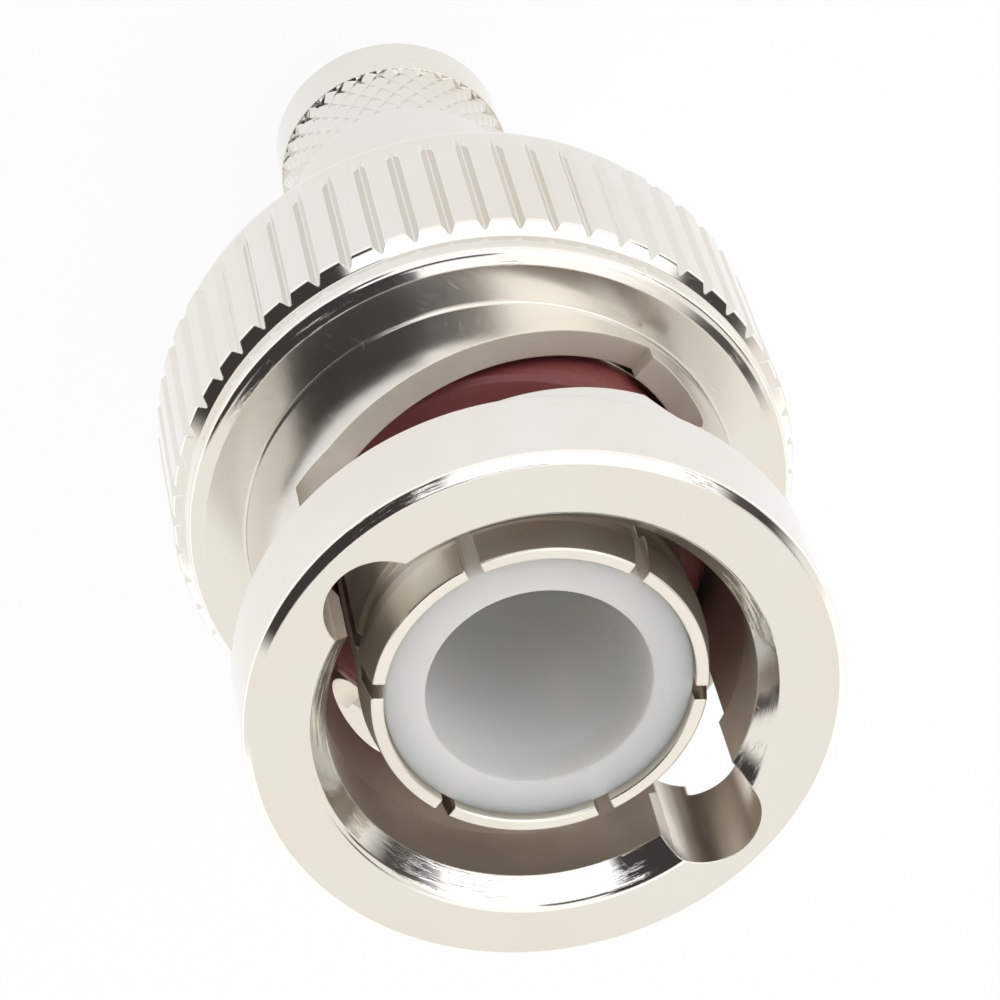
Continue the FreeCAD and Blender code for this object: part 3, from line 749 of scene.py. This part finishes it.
class PLUG_OT_plug_body(bpy.types.Operator):
    """Build the turned body with its knurled crimp stem"""
    bl_idname = "plug.plug_body"
    bl_label = "Plug body"
    bl_options = {"REGISTER", "UNDO"}

    def execute(self, context):
        settings = context.scene.plug
        piece = as_object(turned(self.section(settings), METAL_STEPS), "body_shell")
        combined(piece, [as_object(self.knurl(settings.body), "knurl_band")], "UNION")
        colours = settings.finishes
        finish = plated("body_nickel", colours.nickel, colours.nickel_shade, colours.nickel_roughness)
        finish_piece(piece, "plug", "plug_body", finish)
        return {"FINISHED"}

    def section(self, settings):
        """The body's half section, from the stem's rear end outwards and round."""
        sizes = settings.body
        contact = settings.contact
        small = settings.nut.edge_round
        stem_edge = sizes.stem / 2
        knurl_root = stem_edge - sizes.knurl_depth
        knurl_end = sizes.knurl_start + sizes.knurl_length
        flange_front = SEAT - sizes.nose_length
        flange_rear = flange_front - sizes.flange_thickness
        flange_edge = sizes.flange / 2
        contact_seat = contact.outside / 2 + contact.press_gap
        insulator_seat = contact.outside / 2 - contact.wall
        return rounded_corners([
            (sizes.cable_bore / 2 + sizes.cable_chamfer, 0.0),
            (stem_edge - sizes.stem_chamfer, 0.0, small),
            (stem_edge, sizes.stem_chamfer, small),
            (stem_edge, sizes.knurl_start),
            (knurl_root, sizes.knurl_start),
            (knurl_root, knurl_end),
            (stem_edge, knurl_end),
            (stem_edge, sizes.stem_length, 2 * small),
            (sizes.hub / 2 - sizes.hub_chamfer, sizes.stem_length, small),
            (sizes.hub / 2, sizes.stem_length + sizes.hub_chamfer, small),
            (sizes.hub / 2, flange_rear, small),
            (flange_edge - sizes.flange_chamfer, flange_rear),
            (flange_edge, flange_rear + sizes.flange_chamfer),
            (flange_edge, flange_front - sizes.flange_chamfer),
            (flange_edge - sizes.flange_chamfer, flange_front),
            (sizes.nose / 2, flange_front),
            (sizes.nose / 2, SEAT, small),
            (contact_seat, SEAT),
            (contact_seat, CONTACT_REAR),
            (insulator_seat, CONTACT_REAR),
            (insulator_seat, INSULATOR_REAR),
            (sizes.cable_bore / 2, INSULATOR_REAR),
            (sizes.cable_bore / 2, sizes.cable_chamfer),
        ])

    def knurl(self, sizes):
        """A ring of pyramids: every other point of its skin stays out, and the grooves join the others."""
        crest = sizes.stem / 2
        root = crest - sizes.knurl_depth
        inside = root - sizes.knurl_depth / 2
        step = sizes.knurl_length / sizes.knurl_rows
        levels = [sizes.knurl_start + step * row for row in range(sizes.knurl_rows + 1)]
        outline = [(crest, height) for height in levels]
        outline += [(inside, levels[-1]), (inside, levels[0])]
        shape = turned(outline, 2 * sizes.knurl_count)
        sunk = []
        for vert in shape.verts:
            if vert.co.xy.length < (crest + inside) / 2:
                continue
            around = round(math.atan2(vert.co.y, vert.co.x) / FULL_TURN * 2 * sizes.knurl_count)
            along = round((vert.co.z - sizes.knurl_start) / step)
            if (around + along) % 2 == 0:
                sunk.append(vert)
        bmesh.ops.connect_verts(shape, verts=sunk)
        bmesh.ops.scale(shape, verts=sunk, vec=(root / crest, root / crest, 1.0))
        return shape


class PLUG_OT_ground_contact(bpy.types.Operator):
    """Build the slotted sleeve that springs into the mating barrel"""
    bl_idname = "plug.ground_contact"
    bl_label = "Ground contact"
    bl_options = {"REGISTER", "UNDO"}

    def execute(self, context):
        settings = context.scene.plug
        sizes = settings.contact
        piece = as_object(turned(self.section(sizes), METAL_STEPS), "contact_sleeve")
        combined(piece, [as_object(self.slits(sizes), "slit_tool")], "DIFFERENCE")
        colours = settings.finishes
        shade = colours.nickel_shade
        metal = plated("contact_nickel", colours.contact, shade, colours.contact_roughness, marks=1.6)
        outside = plated("contact_outside", colours.contact_wall, shade, colours.contact_wall_roughness,
                         marks=1.6)
        finish_piece(piece, "plug", "ground_contact", metal)
        piece.data.materials.append(outside)
        for face in piece.data.polygons:
            looks_outward = face.center.xy.normalized().dot(face.normal.xy) > 0.7
            face.material_index = CONTACT_OUTSIDE if looks_outward else CONTACT_METAL
        return {"FINISHED"}

    def section(self, sizes):
        """The sleeve's half section."""
        bore = sizes.outside / 2 - sizes.wall
        ridge_top = CONTACT_TIP - sizes.ridge_lead
        ridge_end = ridge_top - sizes.ridge_width
        waist_end = ridge_end - sizes.waist_slope - sizes.waist_width
        small = sizes.edge_round
        return rounded_corners([
            (bore, CONTACT_TIP, small),
            (sizes.tip / 2, CONTACT_TIP, small),
            (sizes.ridge / 2, ridge_top, 2 * small),
            (sizes.ridge / 2, ridge_end, 2 * small),
            (sizes.waist / 2, ridge_end - sizes.waist_slope, small),
            (sizes.waist / 2, waist_end, small),
            (sizes.outside / 2, waist_end - sizes.waist_slope, small),
            (sizes.outside / 2, CONTACT_REAR),
            (bore, CONTACT_REAR),
        ])

    def slits(self, sizes):
        """Flat bars that cut the slits from the tip."""
        half = sizes.slit_width / 2
        inner = sizes.outside / 2 - 2 * sizes.wall
        outer = sizes.ridge / 2 + sizes.wall
        corners = [(half, inner), (half, outer), (-half, outer), (-half, inner)]
        low = CONTACT_TIP - sizes.slit_length
        return repeated(prism(corners, low, CONTACT_TIP + sizes.wall), sizes.slit_count)


class PLUG_OT_insulator(bpy.types.Operator):
    """Build the pale dielectric with its wide front socket"""
    bl_idname = "plug.insulator"
    bl_label = "Insulator"
    bl_options = {"REGISTER", "UNDO"}

    def execute(self, context):
        settings = context.scene.plug
        sizes = settings.insulator
        contact = settings.contact
        edge = contact.outside / 2 - contact.wall - contact.press_gap
        socket_floor = INSULATOR_FACE - sizes.socket_depth
        piece = as_object(turned(rounded_corners([
            (sizes.socket / 2, INSULATOR_FACE, sizes.socket_chamfer),
            (edge, INSULATOR_FACE, sizes.face_chamfer),
            (edge, INSULATOR_REAR, sizes.face_chamfer),
            (sizes.pin_hole / 2, INSULATOR_REAR),
            (sizes.pin_hole / 2, socket_floor, sizes.face_chamfer),
            (sizes.socket / 2, socket_floor, sizes.face_chamfer),
        ]), MOULDED_STEPS), "dielectric")
        finish_piece(piece, "plug", "insulator",
                     moulded_plastic("pale_dielectric", settings.finishes.dielectric))
        return {"FINISHED"}


class PLUG_OT_gasket(bpy.types.Operator):
    """Build the red silicone ring on the body's nose"""
    bl_idname = "plug.gasket"
    bl_label = "Gasket"
    bl_options = {"REGISTER", "UNDO"}

    def execute(self, context):
        settings = context.scene.plug
        sizes = settings.gasket
        inner = settings.contact.outside / 2 + sizes.gap
        outer = sizes.outside / 2
        piece = as_object(turned(rounded_corners([
            (inner, SEAT),
            (outer, SEAT),
            (outer, GASKET_TOP, sizes.edge_round),
            (inner, GASKET_TOP, sizes.edge_round),
        ]), MOULDED_STEPS), "seal_ring")
        finish_piece(piece, "plug", "gasket",
                     silicone_rubber("red_silicone", settings.finishes.silicone))
        return {"FINISHED"}


class PLUG_OT_spring_stack(bpy.types.Operator):
    """Finish the washer and the retaining ring inside the nut, and make the springs that it flattens"""
    bl_idname = "plug.spring_stack"
    bl_label = "Spring stack"
    bl_options = {"REGISTER", "UNDO"}

    def execute(self, context):
        colours = context.scene.plug.finishes
        steel = plated("spring_steel", colours.steel, colours.steel, colours.steel_roughness)
        for name in ("thrust_washer", "retaining_ring"):
            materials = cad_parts[name].data.materials
            materials.clear()
            materials.append(steel)
        for node, name in (("wave_washer_front", "spring_front"), ("wave_washer_rear", "spring_rear")):
            shape = bmesh.new()
            shape.from_mesh(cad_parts[node].data)
            bmesh.ops.remove_doubles(shape, verts=shape.verts, dist=MERGE_DISTANCE)
            spring = as_object(shape, name)
            finish_piece(spring, "plug", node, steel)
            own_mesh(spring)
        return {"FINISHED"}


class PLUG_OT_stage(bpy.types.Operator):
    """Set up the camera, the white floor and the studio light"""
    bl_idname = "plug.stage"
    bl_label = "Stage"
    bl_options = {"REGISTER", "UNDO"}

    def execute(self, context):
        scene = context.scene
        settings = scene.plug.stage
        scene.view_settings.view_transform = "Standard"
        self.camera(scene, settings)
        self.floor(settings)
        self.surroundings(scene)
        return {"FINISHED"}

    def camera(self, scene, settings):
        """Stand the camera where the view needs it."""
        flat = math.cos(settings.view_height)
        towards = Vector((
            math.cos(settings.view_side) * flat,
            math.sin(settings.view_side) * flat,
            math.sin(settings.view_height),
        ))
        aim = Vector((math.cos(settings.aim_side), math.sin(settings.aim_side), 0.0)) * settings.aim_offset
        aim.z = NUT_FRONT
        lens = bpy.data.cameras.new("camera")
        lens.lens = settings.lens
        clip_ratio = 100
        lens.clip_start = settings.view_distance / clip_ratio
        lens.clip_end = settings.view_distance * clip_ratio
        camera = bpy.data.objects.new("camera", lens)
        camera.rotation_mode = "QUATERNION"
        camera.location = aim + towards * settings.view_distance
        camera.rotation_quaternion = towards.to_track_quat("Z", "Y") @ Quaternion(AXIS, settings.view_roll)
        scene.collection.objects.link(camera)
        scene.camera = camera

    def floor(self, settings):
        """A white floor under the plug, bright where it is seen and plain where it only takes light; in
        reflections its glow is painted, dimmer near the plug as painted shade and brighter away from it as
        painted light.
        """
        shape = bmesh.new()
        bmesh.ops.create_grid(shape, x_segments=1, y_segments=1, size=settings.floor_size / 2)
        floor = as_object(shape, "floor")
        material, tree, shader = new_finish("white_floor")
        shader.inputs["Base Color"].default_value = (0.9, 0.9, 0.9, 1.0)
        shader.inputs["Roughness"].default_value = 0.9
        ray = add(tree, "ShaderNodeLightPath").outputs
        reach = distance(tree, object_place(tree))
        # Painted shade and painted light in reflections: the floor's glow rises from 1.08 within 20 mm of
        # the plug's axis to 1.5 beyond 90 mm.
        painted_glow_in_reflections = stretched(tree, reach, low=0.02, high=0.09, new_low=1.08, new_high=1.5)
        power = add(tree, "ShaderNodeMix", {"data_type": "FLOAT"}, i0=ray["Is Camera Ray"], i2=painted_glow_in_reflections,
                    i3=1.0)
        glow = add(tree, "ShaderNodeEmission", Color=WHITE, Strength=power.outputs["Result"])
        seen = calculated(tree, "MAXIMUM", ray["Is Camera Ray"], ray["Is Glossy Ray"])
        through = calculated(tree, "MAXIMUM", seen, ray["Is Transmission Ray"])
        amount = calculated(tree, "MULTIPLY", through, 0.92)
        blend = add(tree, "ShaderNodeMixShader", i0=amount, i1=shader.outputs["BSDF"],
                    i2=glow.outputs["Emission"])
        tree.links.new(blend.outputs["Shader"], tree.nodes["Material Output"].inputs["Surface"])
        floor.data.materials.append(material)

    def surroundings(self, scene):
        """A white room with soft lamps and dark cards, seen as plain white by the camera itself."""
        world = bpy.data.worlds.new("studio")
        world.use_nodes = True
        scene.world = world
        tree = world.node_tree
        back = tree.nodes["Background"]
        towards = add(tree, "ShaderNodeTexCoord").outputs["Generated"]
        light = (*ROOM_TONE, 1.0)
        for card in ROOM_CARDS:
            light = self.card(tree, towards, light, *card)
        ray = add(tree, "ShaderNodeLightPath").outputs
        tree.links.new(blended(tree, ray["Is Camera Ray"], light, WHITE), back.inputs["Color"])
        back.inputs["Strength"].default_value = 1.0

    def card(self, tree, towards, light, side, height, width, tall, soft, tone):
        """Lay a soft-edged patch over the light: its middle, size and blur are in degrees."""
        spun = add(tree, "ShaderNodeVectorRotate", {"rotation_type": "Z_AXIS"}, Vector=towards,
                   Angle=math.radians(-side))
        parts = add(tree, "ShaderNodeSeparateXYZ", Vector=spun.outputs["Vector"]).outputs
        around = calculated(tree, "ARCTAN2", parts["Y"], parts["X"])
        raised = calculated(tree, "ARCSINE", parts["Z"])
        lifted = calculated(tree, "SUBTRACT", raised, math.radians(height))
        inside = []
        for offset, size in ((around, width), (lifted, tall)):
            apart = calculated(tree, "ABSOLUTE", offset)
            inside.append(stretched(
                tree, apart, low=math.radians(size / 2 - soft), high=math.radians(size / 2 + soft),
                new_low=1.0, new_high=0.0, curve="SMOOTHSTEP"))
        return blended(tree, calculated(tree, "MULTIPLY", *inside), light, (*tone, 1.0))


class PLUG_PT_pieces(bpy.types.Panel):
    """The pieces of the plug, each with its button"""
    bl_idname = "PLUG_PT_pieces"
    bl_label = "Bayonet cable plug"
    bl_space_type = "VIEW_3D"
    bl_region_type = "UI"
    bl_category = "Plug"

    def draw(self, context):
        for operator in PIECES:
            self.layout.operator(operator.bl_idname)


PIECES = (
    PLUG_OT_stage,
    PLUG_OT_coupling_nut,
    PLUG_OT_plug_body,
    PLUG_OT_ground_contact,
    PLUG_OT_insulator,
    PLUG_OT_gasket,
    PLUG_OT_spring_stack,
)
CLASSES = (
    CouplingNutSizes,
    PlugBodySizes,
    ContactSizes,
    InsulatorSizes,
    GasketSizes,
    Finishes,
    StageSettings,
    PlugSettings,
    *PIECES,
    PLUG_PT_pieces,
)


def register():
    """Make the settings, operators and panel known."""
    for entry in CLASSES:
        bpy.utils.register_class(entry)
    bpy.types.Scene.plug = PointerProperty(type=PlugSettings)


def unregister():
    """Take the settings, operators and panel away again."""
    del bpy.types.Scene.plug
    for entry in reversed(CLASSES):
        bpy.utils.unregister_class(entry)


def main():
    """Build every piece in order."""
    register()
    bpy.ops.plug.stage()
    bpy.ops.plug.coupling_nut()
    bpy.ops.plug.plug_body()
    bpy.ops.plug.ground_contact()
    bpy.ops.plug.insulator()
    bpy.ops.plug.gasket()
    bpy.ops.plug.spring_stack()


if __name__ == "__main__":
    main()
